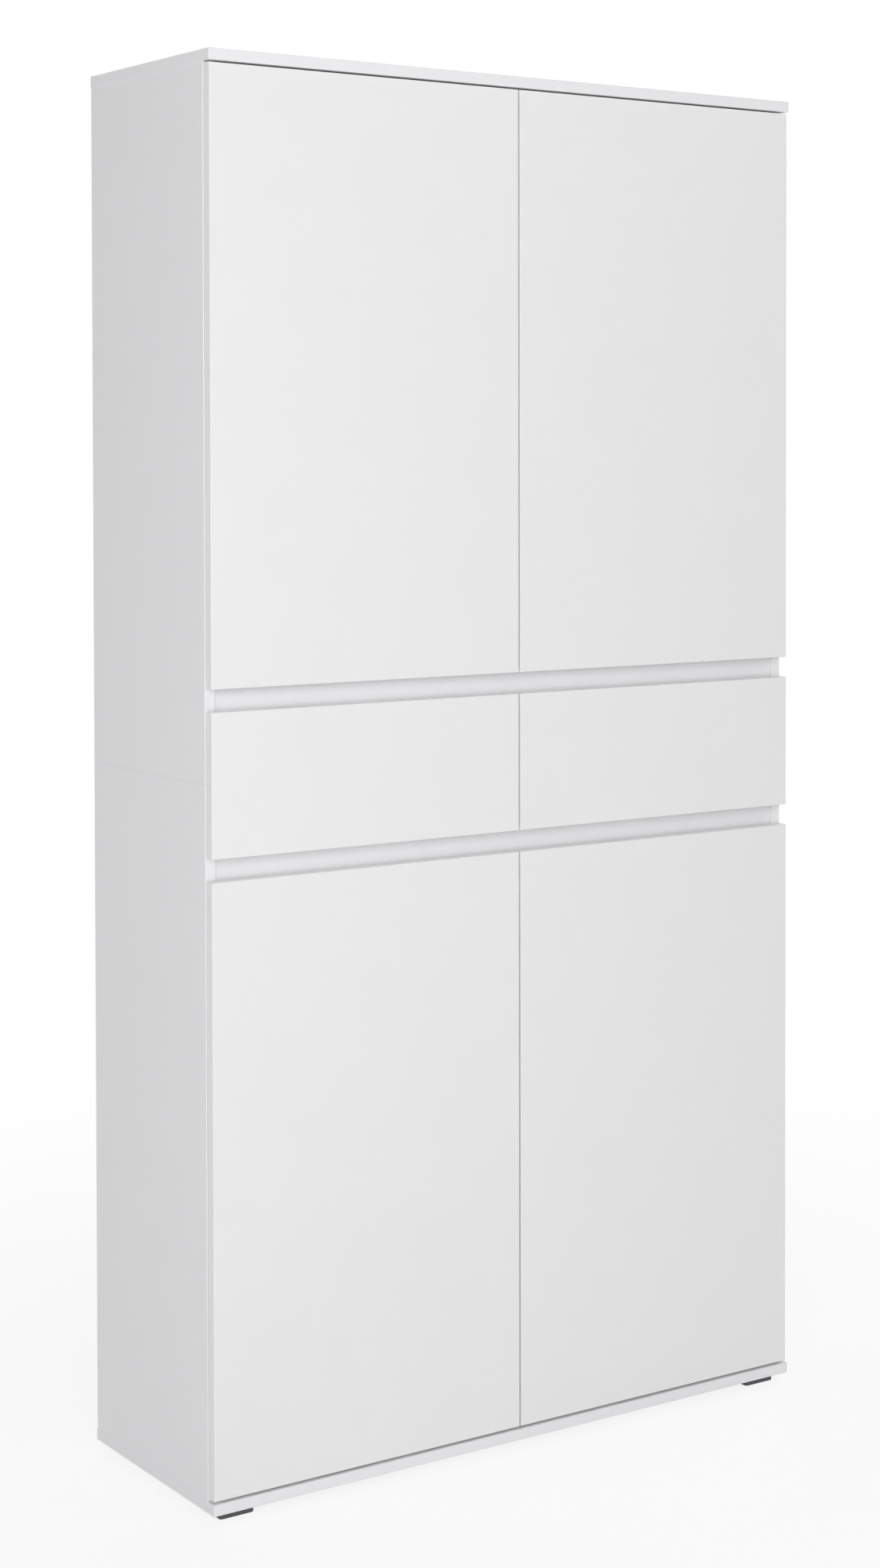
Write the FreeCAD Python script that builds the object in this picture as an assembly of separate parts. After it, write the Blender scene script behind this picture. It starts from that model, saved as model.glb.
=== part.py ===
import FreeCAD, Part
import math
import os

# Tall cupboard for office things: four doors on concealed hinges, two drawers side by side
# between them, and recessed grip rails in place of handles.
# Millimetres. +X to the right, -Y to the front, +Z up. The origin is on the floor, at the
# middle of the cupboard's width and depth.

# ---------------------------------------------------------------- driving dimensions

cabinet_width = 950.0
cabinet_depth = 350.0
cabinet_height = 1900.0
board = 15.0                    # melamine-faced board of every panel
back_thickness = 3.0            # hardboard
edge_radius = 1.0               # edge banding, rounded on the edges that a hand meets
side_arris = 0.8                # eased edges of the sides: in front, and at their seam

foot_height = 12.0
foot_size = 50.0
foot_chamfer = 2.0
foot_set_front = 15.0           # foot behind the front and rear edges of the bottom panel
foot_set_end = 16.0             # foot inside the ends of the bottom panel
middle_foot_set = 60.0          # middle feet, further in

end_overhang = 0.8              # top and bottom panels beyond the sides
front_setback = 2.4             # fronts behind the front edges of the top and bottom panels
front_inset = 1.8               # fronts inside the ends of the top and bottom panels
front_gap = 1.5                 # backs of the fronts to the front edges of the sides
centre_gap = 2.5                # between the left and the right fronts
gap_under_doors = 3.0
gap_over_doors = 2.5
grip_groove = 29.5              # height of the finger groove over and under the drawers
drawer_front_height = 189.5

rail_lap = 15.0                 # grip rail behind the front above and below its groove
rail_recess = 4.0               # grip rails behind the front edges of the sides
seam_lift = 0.75                # seam of the sides above the middle of the drawer fronts

rebate_depth = 4.0              # for the back, in the rear edges of the carcass
rebate_width = 8.0
back_play = 0.5                 # back inside its rebate, each way
back_room = 1.0                 # shelves and partitions end this far before the back
joint_strip_wall = 0.8          # plastic strip that joins the two halves of the back
joint_strip_flange = 12.0

shelf_end_play = 0.75           # loose shelf to the wall beside it
shelf_front_set = 6.0           # loose shelf behind the front edge of its partition
shelf_back_play = 2.0
shelf_arris = 0.6               # eased front edges of the loose shelves
pin_radius = 2.5
pin_hole_depth = 7.5
pin_stem = 7.0
pin_tongue_length = 8.0
pin_tongue_width = 7.0
pin_tongue_height = 4.0
pin_front_set = 40.0            # pin rows from the front and rear edges of a shelf
pin_pitch = 64.0
pins_per_row = 3                # pin holes of a row about each shelf
lower_shelves_per_bay = 1
upper_shelves_per_bay = 2

seam_plate_length = 80.0
seam_plate_width = 18.0
seam_plate_thickness = 2.0
seam_plate_set = 30.0           # plates from the grip rails and from the back
seam_plate_lift = 2.6           # plates over the drawer runners

bracket_leg = 36.0
bracket_width = 20.0
bracket_thickness = 2.0
bracket_spacing = 640.0         # between the two wall brackets
bracket_hole_set = 24.0         # hole in each leg from the outside of the bend
bracket_hole_radius = 2.2
wall_hole_radius = 2.75

pin_sides = 8                   # facets of the shelf pins and of their holes
bearing_sides = 10              # facets of the small pins, eyes and bores that turn
cup_sides = 16                  # facets of the hinge cups

hinge_end_set = 100.0           # hinges from the top and bottom edges of a door
cup_radius = 17.5
cup_depth = 12.5
cup_wall = 1.0
cup_edge_set = 4.25             # cup from the outer edge of the door
cup_flange = 1.0                # rim of the cup on the back of the door, beyond its bore
cup_ear_thickness = 1.0         # rim and screw ears of the cup
cup_ear_span = 52.0
cup_ear_width = 14.0
plate_thickness = 2.5
plate_length = 50.0
plate_width = 19.0
plate_wing_span = 48.0
plate_wing_width = 12.0
plate_set = 37.0                # middle of the plate behind the edge of the side
cup_pin_in = 12.0               # pin in the cup: inside the outer face of the side
cup_pin_ahead = 6.0             # and ahead of the front edge of the side
arm_pin_in = 32.0               # pin in the arm: inside the outer face of the side
arm_pin_behind = 4.0            # and behind the front edge of the side
hinge_pin_radius = 1.6
hinge_pin_play = 0.05
link_eye_radius = 3.0
link_thickness = 1.6
link_width = 14.0
link_floor_play = 0.5           # link over the floor of the closed door's cup
link_bend_in = 1.5              # first bend of the link beyond the cup's pin
link_run = 10.5                 # straight run of the link along the cup's floor
arm_wall = 1.2
arm_play = 0.5                  # link to the walls of the arm, each way
arm_nose_radius = 3.5
arm_heel = 14.0                 # arm's seat begins this far behind the edge of the side

drawer_stay = 70.0              # length of a drawer that stays inside when it is pulled out
drawer_side = 12.0
drawer_height = 115.0           # height of a drawer's sides
drawer_back_room = 27.0         # behind a closed drawer
drawer_bottom_thickness = 3.0
drawer_bottom_lift = 10.0       # bottom above the lower edges of the sides
drawer_bottom_groove = 6.0
drawer_lift = 20.0              # sides above the lower grip rail
runner_gap = 12.5               # between a drawer and the wall beside it
runner_sheet = 1.2
runner_front_set = 2.0          # fixed runners behind the faces of the grip rails
runner_play = 0.4
side_over_track = 3.0           # drawer's sides above the track of the rear rollers
roller_radius = 9.0
roller_width = 6.0
roller_stand = 1.0              # washer gap between a roller and its runner
roller_end_set = 14.0           # rollers' axes from the ends of their runners
roller_pin_radius = 2.5
roller_play = 0.05              # roller on its pin
roller_lift = 0.1               # roller to the sheet that rolls on it
stop_depth = 5.0                # tab that stops a drawer's rear roller
stop_play = 0.5

# ---------------------------------------------------------------- places worked out

half_width = cabinet_width / 2
panel_front = -cabinet_depth / 2
panel_back = cabinet_depth / 2
bottom_top = foot_height + board
top_under = cabinet_height - board

side_outer = half_width - end_overhang
side_inner = side_outer - board
front_face = panel_front + front_setback
front_back = front_face + board
side_front = front_back + front_gap
rail_front = side_front + rail_recess
rail_back = rail_front + board
back_front = panel_back - rebate_depth
inner_back = back_front - back_room

front_outer = half_width - front_inset
front_inner = centre_gap / 2

doors_total = (top_under - bottom_top - gap_under_doors - gap_over_doors
               - drawer_front_height - 2 * grip_groove)
door_height = doors_total / 2
lower_door_z = bottom_top + gap_under_doors
drawer_front_z = lower_door_z + door_height + grip_groove
drawer_front_top = drawer_front_z + drawer_front_height
upper_door_z = drawer_front_top + grip_groove
seam_z = drawer_front_z + drawer_front_height / 2 + seam_lift

lower_rail_z = lower_door_z + door_height - rail_lap
lower_rail_top = drawer_front_z + rail_lap
upper_rail_z = drawer_front_top - rail_lap
upper_rail_top = upper_door_z + rail_lap
lower_shelf_top = lower_rail_z + board
upper_shelf_under = upper_rail_top - board

bay_inner = board / 2
shelf_inner = bay_inner + shelf_end_play
shelf_outer = side_inner - shelf_end_play
shelf_front = rail_front + shelf_front_set
shelf_back = inner_back - shelf_back_play
pin_rows_y = (shelf_front + pin_front_set, shelf_back - pin_front_set)

drawer_back_y = inner_back - drawer_back_room
drawer_length = drawer_back_y - front_back
drawer_travel = drawer_length - drawer_stay
drawer_outer = side_inner - runner_gap
drawer_inner = bay_inner + runner_gap
drawer_z = lower_rail_top + drawer_lift
drawer_top = drawer_z + drawer_height

track_z = drawer_z - side_over_track            # top of the track of the rear rollers
rear_roller_z = track_z + roller_lift + roller_radius
upper_track_z = rear_roller_z + roller_radius + runner_play
runner_top = upper_track_z + runner_sheet
flange_z = runner_top + runner_play
front_roller_z = flange_z - roller_lift - roller_radius
runner_front = rail_front + runner_front_set
front_roller_y = runner_front + roller_end_set
rear_roller_y = drawer_back_y - roller_end_set
front_roller_room = roller_end_set + roller_radius + runner_sheet
stop_y = rear_roller_y - drawer_travel - roller_radius - stop_play

same_place = 0.01               # places closer than this are one
sides = (-1, 1)
side_names = {-1: "left", 1: "right"}
levels = ("lower", "upper")


# ---------------------------------------------------------------- small helpers

def vec(x, y, z):
    return FreeCAD.Vector(x, y, z)


def block(x, y, z):
    """A box between two X, two Y and two Z places, each given as a pair in any order."""
    low = [min(pair) for pair in (x, y, z)]
    size = [abs(pair[1] - pair[0]) for pair in (x, y, z)]
    return Part.makeBox(size[0], size[1], size[2], vec(*low))


def rod(radius, length, base, direction):
    return Part.makeCylinder(radius, length, vec(*base), vec(*direction))


def faceted_rod(radius, length, base, direction, facets):
    """A small round piece with few facets, because it repeats many times."""
    axis = vec(*direction)
    across = vec(0, 1, 0) if axis.z else vec(0, 0, 1)
    spoke = axis.cross(across) * radius
    turns = [FreeCAD.Rotation(axis, 360 * step / facets) for step in range(facets + 1)]
    corners = [vec(*base) + turn.multVec(spoke) for turn in turns]
    return Part.Face(Part.makePolygon(corners)).extrude(axis * length)


def faceted_bore(radius, length, base, direction, facets):
    """A small bore with few facets, whose flats clear a round of the given radius."""
    return faceted_rod(radius / math.cos(math.pi / facets), length, base, direction, facets)


def mirrored(shape):
    return shape.mirror(vec(0, 0, 0), vec(1, 0, 0))


def on_side(shape, side):
    """A shape drawn for the right-hand half, put on the given side."""
    return shape if side > 0 else mirrored(shape)


def cut_all(shape, tools):
    return shape.cut(tools) if tools else shape


def rounded(shape, radius, wanted):
    """Rounds the straight edges whose two ends both lie where wanted() says."""
    edges = [edge for edge in shape.Edges if all(wanted(v.Point) for v in edge.Vertexes)]
    return shape.makeFillet(radius, edges)


def near(value, place):
    return abs(value - place) < same_place


def save(name, shapes):
    shape = shapes[0] if len(shapes) == 1 else Part.makeCompound(shapes)
    shape.exportStep("parts/" + name + ".step")


# ---------------------------------------------------------------- loose shelves' pins

def shelf_levels(low, high, count):
    """Heights of the undersides of the loose shelves, evenly spread over a bay."""
    step = (high - low) / (count + 1)
    return [low + step * (index + 1) - board / 2 for index in range(count)]


lower_levels = shelf_levels(bottom_top, lower_rail_z, lower_shelves_per_bay)
upper_levels = shelf_levels(upper_rail_top, top_under, upper_shelves_per_bay)


def pin_heights(shelves):
    """Heights of the pin holes: a short row about each shelf, which lies on its middle one."""
    reach = pins_per_row // 2
    return [under - pin_radius + pin_pitch * step
            for under in shelves for step in range(-reach, pins_per_row - reach)]


def side_pin_holes(shelves):
    """Blind pin holes in the inner face of the right-hand side."""
    return [faceted_bore(pin_radius, pin_hole_depth, (side_inner, y, z), (1, 0, 0), pin_sides)
            for z in pin_heights(shelves) for y in pin_rows_y]


def partition_pin_holes(shelves):
    """Pin holes right through a partition, shared by the bays on both sides."""
    return [faceted_bore(pin_radius, board, (-bay_inner, y, z), (1, 0, 0), pin_sides)
            for z in pin_heights(shelves) for y in pin_rows_y]


def shelf_pin(wall, y, under, towards):
    """A pin in a wall, with a flat tongue under the shelf. towards is the bay's direction."""
    height = under - pin_radius
    stem = faceted_rod(pin_radius, pin_stem, (wall, y, height), (-towards, 0, 0), pin_sides)
    tongue = block((wall, wall + towards * pin_tongue_length),
                   (y - pin_tongue_width / 2, y + pin_tongue_width / 2),
                   (under - pin_tongue_height, under))
    return stem.fuse(tongue)


def shelf_pins():
    pins = []
    for side in sides:
        for under in lower_levels + upper_levels:
            for y in pin_rows_y:
                pins.append(shelf_pin(side * side_inner, y, under, -side))
                pins.append(shelf_pin(side * bay_inner, y, under, side))
    save("shelf_pins", pins)


# ---------------------------------------------------------------- carcass

def rebate(z):
    """The rebate for the back, cut along the inner rear edges over the given heights."""
    reach = side_inner + rebate_width
    return block((-reach, reach), (back_front, panel_back), z)


def end_panel(z0, z1, cuts):
    panel = block((-half_width, half_width), (panel_front, panel_back), (z0, z1))
    panel = rounded(panel, edge_radius, lambda p: not near(p.y, panel_back))
    return panel.cut(cuts)


def top_panel():
    cuts = [rebate((top_under, top_under + rebate_width))]
    save("top_panel", [end_panel(top_under, cabinet_height, cuts)])


def bottom_panel():
    cuts = [rebate((bottom_top - rebate_width, bottom_top))]
    save("bottom_panel", [end_panel(foot_height, bottom_top, cuts)])


def side_half(z0, z1, shelves):
    """Half of a side, drawn on the right: rebated, bored for pins, and eased in front and at
    the seam."""
    def eased(edge):
        ends = [vertex.Point for vertex in edge.Vertexes]
        in_front = all(near(end.y, side_front) for end in ends) and near(ends[0].x, ends[1].x)
        return in_front or all(near(end.z, seam_z) and near(end.x, side_outer) for end in ends)

    half = block((side_inner, side_outer), (side_front, panel_back), (z0, z1))
    half = half.makeChamfer(side_arris, [edge for edge in half.Edges if eased(edge)])
    return half.cut([rebate((z0, z1))] + side_pin_holes(shelves))


def side_halves():
    lower = side_half(bottom_top, seam_z, lower_levels)
    upper = side_half(seam_z, top_under, upper_levels)
    for side in sides:
        save(side_names[side] + "_side_lower", [on_side(lower, side)])
        save(side_names[side] + "_side_upper", [on_side(upper, side)])


def partition(z0, z1, shelves):
    panel = block((-bay_inner, bay_inner), (rail_front, inner_back), (z0, z1))
    return cut_all(panel, partition_pin_holes(shelves))


def partitions():
    save("lower_partition", [partition(bottom_top, lower_rail_z, lower_levels)])
    save("upper_partition", [partition(upper_rail_top, top_under, upper_levels)])
    behind = block((-bay_inner, bay_inner), (rail_back, inner_back),
                   (lower_shelf_top, upper_shelf_under))
    between = block((-bay_inner, bay_inner), (rail_front, rail_back),
                    (lower_rail_top, upper_rail_z))
    save("drawer_partition", [behind.fuse(between).removeSplitter()])


def fixed_shelves():
    for name, z0 in (("lower_fixed_shelf", lower_rail_z), ("upper_fixed_shelf", upper_shelf_under)):
        save(name, [block((-side_inner, side_inner), (rail_back, inner_back), (z0, z0 + board))])


def grip_rails():
    for name, z0, z1 in (("lower_grip_rail", lower_rail_z, lower_rail_top),
                         ("upper_grip_rail", upper_rail_z, upper_rail_top)):
        save(name, [block((-side_inner, side_inner), (rail_front, rail_back), (z0, z1))])


def loose_shelves():
    def shelf(under, side):
        panel = block((shelf_inner, shelf_outer), (shelf_front, shelf_back), (under, under + board))
        front_edges = [edge for edge in panel.Edges
                       if all(near(v.Y, shelf_front) for v in edge.Vertexes)]
        return on_side(panel.makeChamfer(shelf_arris, front_edges), side)

    for side in sides:
        for level, heights in zip(levels, (lower_levels, upper_levels)):
            name = side_names[side] + "_" + level + "_shelves"
            save(name, [shelf(under, side) for under in heights])


def back():
    reach = side_inner + rebate_width - back_play
    y = (back_front, back_front + back_thickness)
    low = bottom_top - rebate_width + back_play
    high = top_under + rebate_width - back_play
    web = joint_strip_wall / 2
    holes = [faceted_bore(wall_hole_radius, back_thickness, (x, back_front, wall_hole_z()),
                          (0, 1, 0), bearing_sides) for x in bracket_places()]
    upper = block((-reach, reach), y, (seam_z + web, high)).cut(holes)
    save("lower_back_panel", [block((-reach, reach), y, (low, seam_z - web))])
    save("upper_back_panel", [upper])

    half_flange = joint_strip_flange / 2
    strip_reach = side_inner
    strip = block((-strip_reach, strip_reach), y, (seam_z - web, seam_z + web))
    for y0, y1 in ((y[0] - joint_strip_wall, y[0]), (y[1], y[1] + joint_strip_wall)):
        strip = strip.fuse(block((-strip_reach, strip_reach), (y0, y1),
                                 (seam_z - half_flange, seam_z + half_flange)))
    save("back_joint_strip", [strip.removeSplitter()])


def feet():
    def foot(x0, y0):
        pad = block((x0, x0 + foot_size), (y0, y0 + foot_size), (0, foot_height))
        upright = [edge for edge in pad.Edges
                   if not near(edge.Vertexes[0].Z, edge.Vertexes[1].Z)]
        return pad.makeChamfer(foot_chamfer, upright)

    end = half_width - foot_set_end
    corner_rows = (panel_front + foot_set_front, panel_back - foot_set_front - foot_size)
    middle_rows = (panel_front + middle_foot_set, panel_back - middle_foot_set - foot_size)
    placed = [foot(x, y) for x in (-end, end - foot_size) for y in corner_rows]
    placed += [foot(-foot_size / 2, y) for y in middle_rows]
    save("feet", placed)


# ---------------------------------------------------------------- seam plates, wall brackets

def seam_plates():
    """Flat plates inside each side, screwed over the joint of its two halves."""
    rows = (rail_back + seam_plate_set, inner_back - seam_plate_set)
    low = runner_top + seam_plate_lift
    plates = []
    for side in sides:
        face = side * side_inner
        for y in rows:
            plate = block((face - side * seam_plate_thickness, face),
                          (y - seam_plate_width / 2, y + seam_plate_width / 2),
                          (low, low + seam_plate_length))
            plates.append(plate)
    save("seam_plates", plates)


def bracket_places():
    return (-bracket_spacing / 2, bracket_spacing / 2)


def wall_hole_z():
    return top_under - bracket_hole_set


def wall_brackets():
    """Angle brackets under the top panel, whose holes take the screws into a wall."""
    brackets = []
    for x in bracket_places():
        width = (x - bracket_width / 2, x + bracket_width / 2)
        upright = block(width, (back_front - bracket_thickness, back_front),
                        (top_under - bracket_leg, top_under))
        flat = block(width, (back_front - bracket_leg, back_front),
                     (top_under - bracket_thickness, top_under))
        wall_hole = rod(wall_hole_radius, bracket_leg, (x, back_front - bracket_leg, wall_hole_z()),
                        (0, 1, 0))
        top_hole = faceted_bore(bracket_hole_radius, bracket_leg,
                                (x, back_front - bracket_hole_set, top_under - bracket_leg),
                                (0, 0, 1), bearing_sides)
        brackets.append(upright.fuse(flat).removeSplitter().cut([wall_hole, top_hole]))
    save("wall_brackets", brackets)


# ---------------------------------------------------------------- doors and their hinges

door_bottoms = {"lower": lower_door_z, "upper": upper_door_z}
cup_x = front_outer - cup_edge_set - cup_radius


def hinge_heights(level):
    low = door_bottoms[level]
    return (low + hinge_end_set, low + door_height - hinge_end_set)


def front_board(z0, height, cuts):
    """A door or drawer front of the right-hand half, with its face edges rounded."""
    panel = block((front_inner, front_outer), (front_face, front_back), (z0, z0 + height))
    panel = rounded(panel, edge_radius, lambda p: near(p.y, front_face))
    return cut_all(panel, cuts)


def hinge_place(inward, behind):
    """X and Y of a place given from the outer face and from the front edge of the side."""
    return side_outer - inward, side_front + behind


cup_pin = hinge_place(cup_pin_in, -cup_pin_ahead)
arm_pin = hinge_place(arm_pin_in, arm_pin_behind)


def upright_prism(outline, z, width):
    """Extrudes an outline of (X, Y) places by a width that is centred on a height."""
    points = [vec(x, y, z - width / 2) for x, y in outline]
    return Part.Face(Part.makePolygon(points + points[:1])).extrude(vec(0, 0, width))


def upright(make, radius, place, z, width, *facets):
    """A round made by one of the rod helpers along Z, with its middle at the given height."""
    return make(radius, width, (place[0], place[1], z - width / 2), (0, 0, 1), *facets)


def cup_round(radius, depth, from_door, z):
    """A round about the cup's middle that goes into the door from the given height over it."""
    return faceted_rod(radius, depth, (cup_x, front_back + from_door, z), (0, -1, 0), cup_sides)


def cup_bore(z):
    return cup_round(cup_radius, cup_depth, 0, z)


def hinge_cup(z):
    """A steel cup sunk in the door, with its rim, two screw ears and the pin of the link."""
    ears = block((cup_x - cup_ear_width / 2, cup_x + cup_ear_width / 2),
                 (front_back, front_back + cup_ear_thickness),
                 (z - cup_ear_span / 2, z + cup_ear_span / 2))
    rim = cup_round(cup_radius + cup_flange, cup_ear_thickness, cup_ear_thickness, z)
    hollow = cup_round(cup_radius - cup_wall, cup_depth - cup_wall + cup_ear_thickness,
                       cup_ear_thickness, z)
    shell = cup_bore(z).fuse([rim, ears]).cut(hollow).removeSplitter()
    pin = upright(faceted_rod, hinge_pin_radius, cup_pin, z, 2 * cup_radius, bearing_sides)
    return shell.fuse(pin.common(cup_bore(z)))


def strip_outline(places, thickness):
    """Outline of a strip of sheet bent along the given places, with square ends."""
    normals = []
    for start, end in zip(places, places[1:]):
        length = math.dist(start, end)
        normals.append(((start[1] - end[1]) / length, (end[0] - start[0]) / length))
    offsets = []
    for before, after in zip(normals[:1] + normals, normals + normals[-1:]):
        stretch = thickness / (1 + before[0] * after[0] + before[1] * after[1])
        offsets.append(((before[0] + after[0]) * stretch / 2, (before[1] + after[1]) * stretch / 2))
    one = [(x + dx, y + dy) for (x, y), (dx, dy) in zip(places, offsets)]
    other = [(x - dx, y - dy) for (x, y), (dx, dy) in zip(places, offsets)]
    return one + other[::-1]


def hinge_link(z):
    """The hooked link: from the arm's pin down into the cup and round to the cup's pin."""
    floor_y = front_back - cup_depth + cup_wall + link_floor_play + link_thickness / 2
    bend_x = cup_pin[0] - link_bend_in
    places = [cup_pin, (bend_x, floor_y), (bend_x - link_run, floor_y), arm_pin]
    link = upright_prism(strip_outline(places, link_thickness), z, link_width)
    eyes = [upright(rod, link_eye_radius, cup_pin, z, link_width),
            upright(faceted_rod, link_eye_radius, arm_pin, z, link_width, bearing_sides)]
    bore_radius = hinge_pin_radius + hinge_pin_play
    bores = [upright(faceted_bore, bore_radius, pin, z, link_width, bearing_sides)
             for pin in (cup_pin, arm_pin)]
    return link.fuse(eyes).cut(bores).removeSplitter()


def hinge_arm(z):
    """A channel-shaped arm on its mounting plate, with the link's pin in its nose."""
    inner_width = link_width + 2 * arm_play
    width = inner_width + 2 * arm_wall
    seat = side_inner - plate_thickness
    top = arm_pin[0] - arm_nose_radius
    heel = side_front + arm_heel
    rear = side_front + plate_set + plate_length / 2
    nose_front = arm_pin[1] - arm_nose_radius
    outline = ((seat, rear), (seat, heel), (arm_pin[0] + arm_nose_radius, arm_pin[1]),
               (top, arm_pin[1]), (top, rear))
    solid = upright_prism(outline, z, width)
    solid = solid.fuse(upright(rod, arm_nose_radius, arm_pin, z, width)).removeSplitter()
    inside = (z - inner_width / 2, z + inner_width / 2)
    channel = block((seat, top + arm_wall), (nose_front, rear), inside)
    mouth = block((seat, top), (nose_front, arm_pin[1] + link_eye_radius + arm_play), inside)
    pin = upright(faceted_rod, hinge_pin_radius, arm_pin, z, inner_width, bearing_sides)
    return solid.cut([channel, mouth]).fuse(pin)


def hinge_plate(z):
    """A cross-shaped mounting plate, screwed to the side at its two wings."""
    seat = side_inner - plate_thickness
    middle = side_front + plate_set
    base = block((seat, side_inner), (middle - plate_length / 2, middle + plate_length / 2),
                 (z - plate_width / 2, z + plate_width / 2))
    wings = block((seat, side_inner), (middle - plate_wing_width / 2, middle + plate_wing_width / 2),
                  (z - plate_wing_span / 2, z + plate_wing_span / 2))
    return base.fuse(wings).removeSplitter()


def doors_and_hinges():
    arms = []
    plates = []
    for side in sides:
        for level in levels:
            name = side_names[side] + "_" + level + "_door"
            heights = hinge_heights(level)
            bores = [cup_bore(z) for z in heights]
            door = front_board(door_bottoms[level], door_height, bores)
            save(name, [on_side(door, side)])
            save(name + "_hinge_cups", [on_side(hinge_cup(z), side) for z in heights])
            save(name + "_hinge_links", [on_side(hinge_link(z), side) for z in heights])
            arms += [on_side(hinge_arm(z), side) for z in heights]
            plates += [on_side(hinge_plate(z), side) for z in heights]
    save("hinge_arms", arms)
    save("hinge_plates", plates)


# ---------------------------------------------------------------- drawers and their runners

def drawer_box(side):
    """Front, sides, back and bottom of one drawer."""
    name = side_names[side] + "_drawer"
    save(name + "_front", [on_side(front_board(drawer_front_z, drawer_front_height, []), side)])

    bottom_z = drawer_z + drawer_bottom_lift
    groove = block((drawer_inner + drawer_side - drawer_bottom_groove,
                    drawer_outer - drawer_side + drawer_bottom_groove),
                   (front_back, drawer_back_y), (bottom_z, bottom_z + drawer_bottom_thickness))
    walls = []
    for x0, x1 in ((drawer_inner, drawer_inner + drawer_side),
                   (drawer_outer - drawer_side, drawer_outer)):
        wall = block((x0, x1), (front_back, drawer_back_y), (drawer_z, drawer_top))
        walls.append(on_side(wall.cut(groove), side))
    save(name + "_sides", walls)

    rear = block((drawer_inner + drawer_side, drawer_outer - drawer_side),
                 (drawer_back_y - drawer_side, drawer_back_y),
                 (bottom_z + drawer_bottom_thickness, drawer_top))
    save(name + "_back", [on_side(rear, side)])
    save(name + "_bottom", [on_side(groove, side)])


def cabinet_runner(wall_x, towards):
    """Fixed runner on a wall: a channel for the drawer's rear roller, with a roller in front."""
    y = (runner_front, runner_front + drawer_length)
    web_face = wall_x + towards * runner_sheet
    tip = wall_x + towards * (runner_gap - runner_sheet - runner_play)
    web = block((wall_x, web_face), y, (track_z - runner_sheet, runner_top))
    track = block((wall_x, tip), y, (track_z - runner_sheet, track_z))
    guard = block((wall_x, tip), (y[0] + front_roller_room, y[1]),
                  (upper_track_z, runner_top))
    stop = block((web_face, tip), (stop_y - runner_sheet, stop_y),
                 (upper_track_z - stop_depth, upper_track_z))
    runner = web.fuse([track, guard, stop]).removeSplitter()
    return runner.fuse(roller_pin(web_face, towards, front_roller_y, front_roller_z))


def drawer_runner(face_x, towards):
    """Runner on a drawer: an angle under its side, whose upper flange lies on the front roller."""
    y = (front_back, drawer_back_y)
    web_face = face_x - towards * runner_sheet
    web = block((face_x, web_face), y, (drawer_z - runner_sheet, flange_z + runner_sheet))
    ledge = block((web_face, face_x + towards * drawer_side), y,
                  (drawer_z - runner_sheet, drawer_z))
    reach = runner_gap - runner_sheet - 2 * runner_play
    flange = block((face_x, face_x - towards * reach), y, (flange_z, flange_z + runner_sheet))
    runner = web.fuse([ledge, flange]).removeSplitter()
    return runner.fuse(roller_pin(web_face, -towards, rear_roller_y, rear_roller_z))


def roller_pin(face_x, towards, y, z):
    """Rivet that carries a roller."""
    return faceted_rod(roller_pin_radius, roller_stand + roller_width, (face_x, y, z),
                       (towards, 0, 0), bearing_sides)


def roller(face_x, towards, y, z):
    base = (face_x + towards * roller_stand, y, z)
    wheel = rod(roller_radius, roller_width, base, (towards, 0, 0))
    bore = faceted_bore(roller_pin_radius + roller_play, roller_width, base, (towards, 0, 0),
                        bearing_sides)
    return wheel.cut(bore)


def drawers():
    fixed = []
    for side in sides:
        drawer_box(side)
        moving = []
        front_rollers = []
        rear_rollers = []
        for wall, face, towards in ((side_inner, drawer_outer, -1), (bay_inner, drawer_inner, 1)):
            fixed.append(on_side(cabinet_runner(wall, towards), side))
            moving.append(on_side(drawer_runner(face, towards), side))
            front_rollers.append(on_side(roller(wall + towards * runner_sheet, towards,
                                                front_roller_y, front_roller_z), side))
            rear_rollers.append(on_side(roller(face - towards * runner_sheet, -towards,
                                               rear_roller_y, rear_roller_z), side))
        name = side_names[side] + "_drawer"
        save(name + "_runners", moving)
        save(name + "_front_rollers", front_rollers)
        save(name + "_rear_rollers", rear_rollers)
    save("cabinet_runners", fixed)


# ---------------------------------------------------------------- the whole cupboard

os.makedirs("parts", exist_ok=True)
top_panel()
bottom_panel()
side_halves()
partitions()
fixed_shelves()
grip_rails()
loose_shelves()
back()
feet()
shelf_pins()
seam_plates()
wall_brackets()
doors_and_hinges()
drawers()
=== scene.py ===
import math

import bmesh
import bpy
from mathutils import Euler, Matrix, Vector


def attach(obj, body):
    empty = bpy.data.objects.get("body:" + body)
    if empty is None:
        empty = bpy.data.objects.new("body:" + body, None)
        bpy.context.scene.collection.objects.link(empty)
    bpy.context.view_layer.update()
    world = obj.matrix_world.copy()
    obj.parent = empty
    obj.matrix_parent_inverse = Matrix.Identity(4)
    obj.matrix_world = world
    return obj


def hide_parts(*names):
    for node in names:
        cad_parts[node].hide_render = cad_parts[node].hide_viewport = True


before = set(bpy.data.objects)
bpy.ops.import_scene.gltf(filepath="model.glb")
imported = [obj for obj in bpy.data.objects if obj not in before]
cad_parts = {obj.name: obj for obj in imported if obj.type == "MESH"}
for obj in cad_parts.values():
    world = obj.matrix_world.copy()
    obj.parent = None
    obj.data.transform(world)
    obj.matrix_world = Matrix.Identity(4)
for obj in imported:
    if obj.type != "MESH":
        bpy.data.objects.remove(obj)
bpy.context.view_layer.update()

# A tall white office cupboard, flat packed: melamine-faced boards, doors on concealed hinges,
# two drawers on roller runners and recessed grip rails. The frame is in metres. The fittings
# are drawn in millimetres and brought to metres when they are set out on the cupboard.

MM = 0.001
SIDES = {"left": -1, "right": 1}
LEVELS = ("lower", "upper")

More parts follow.
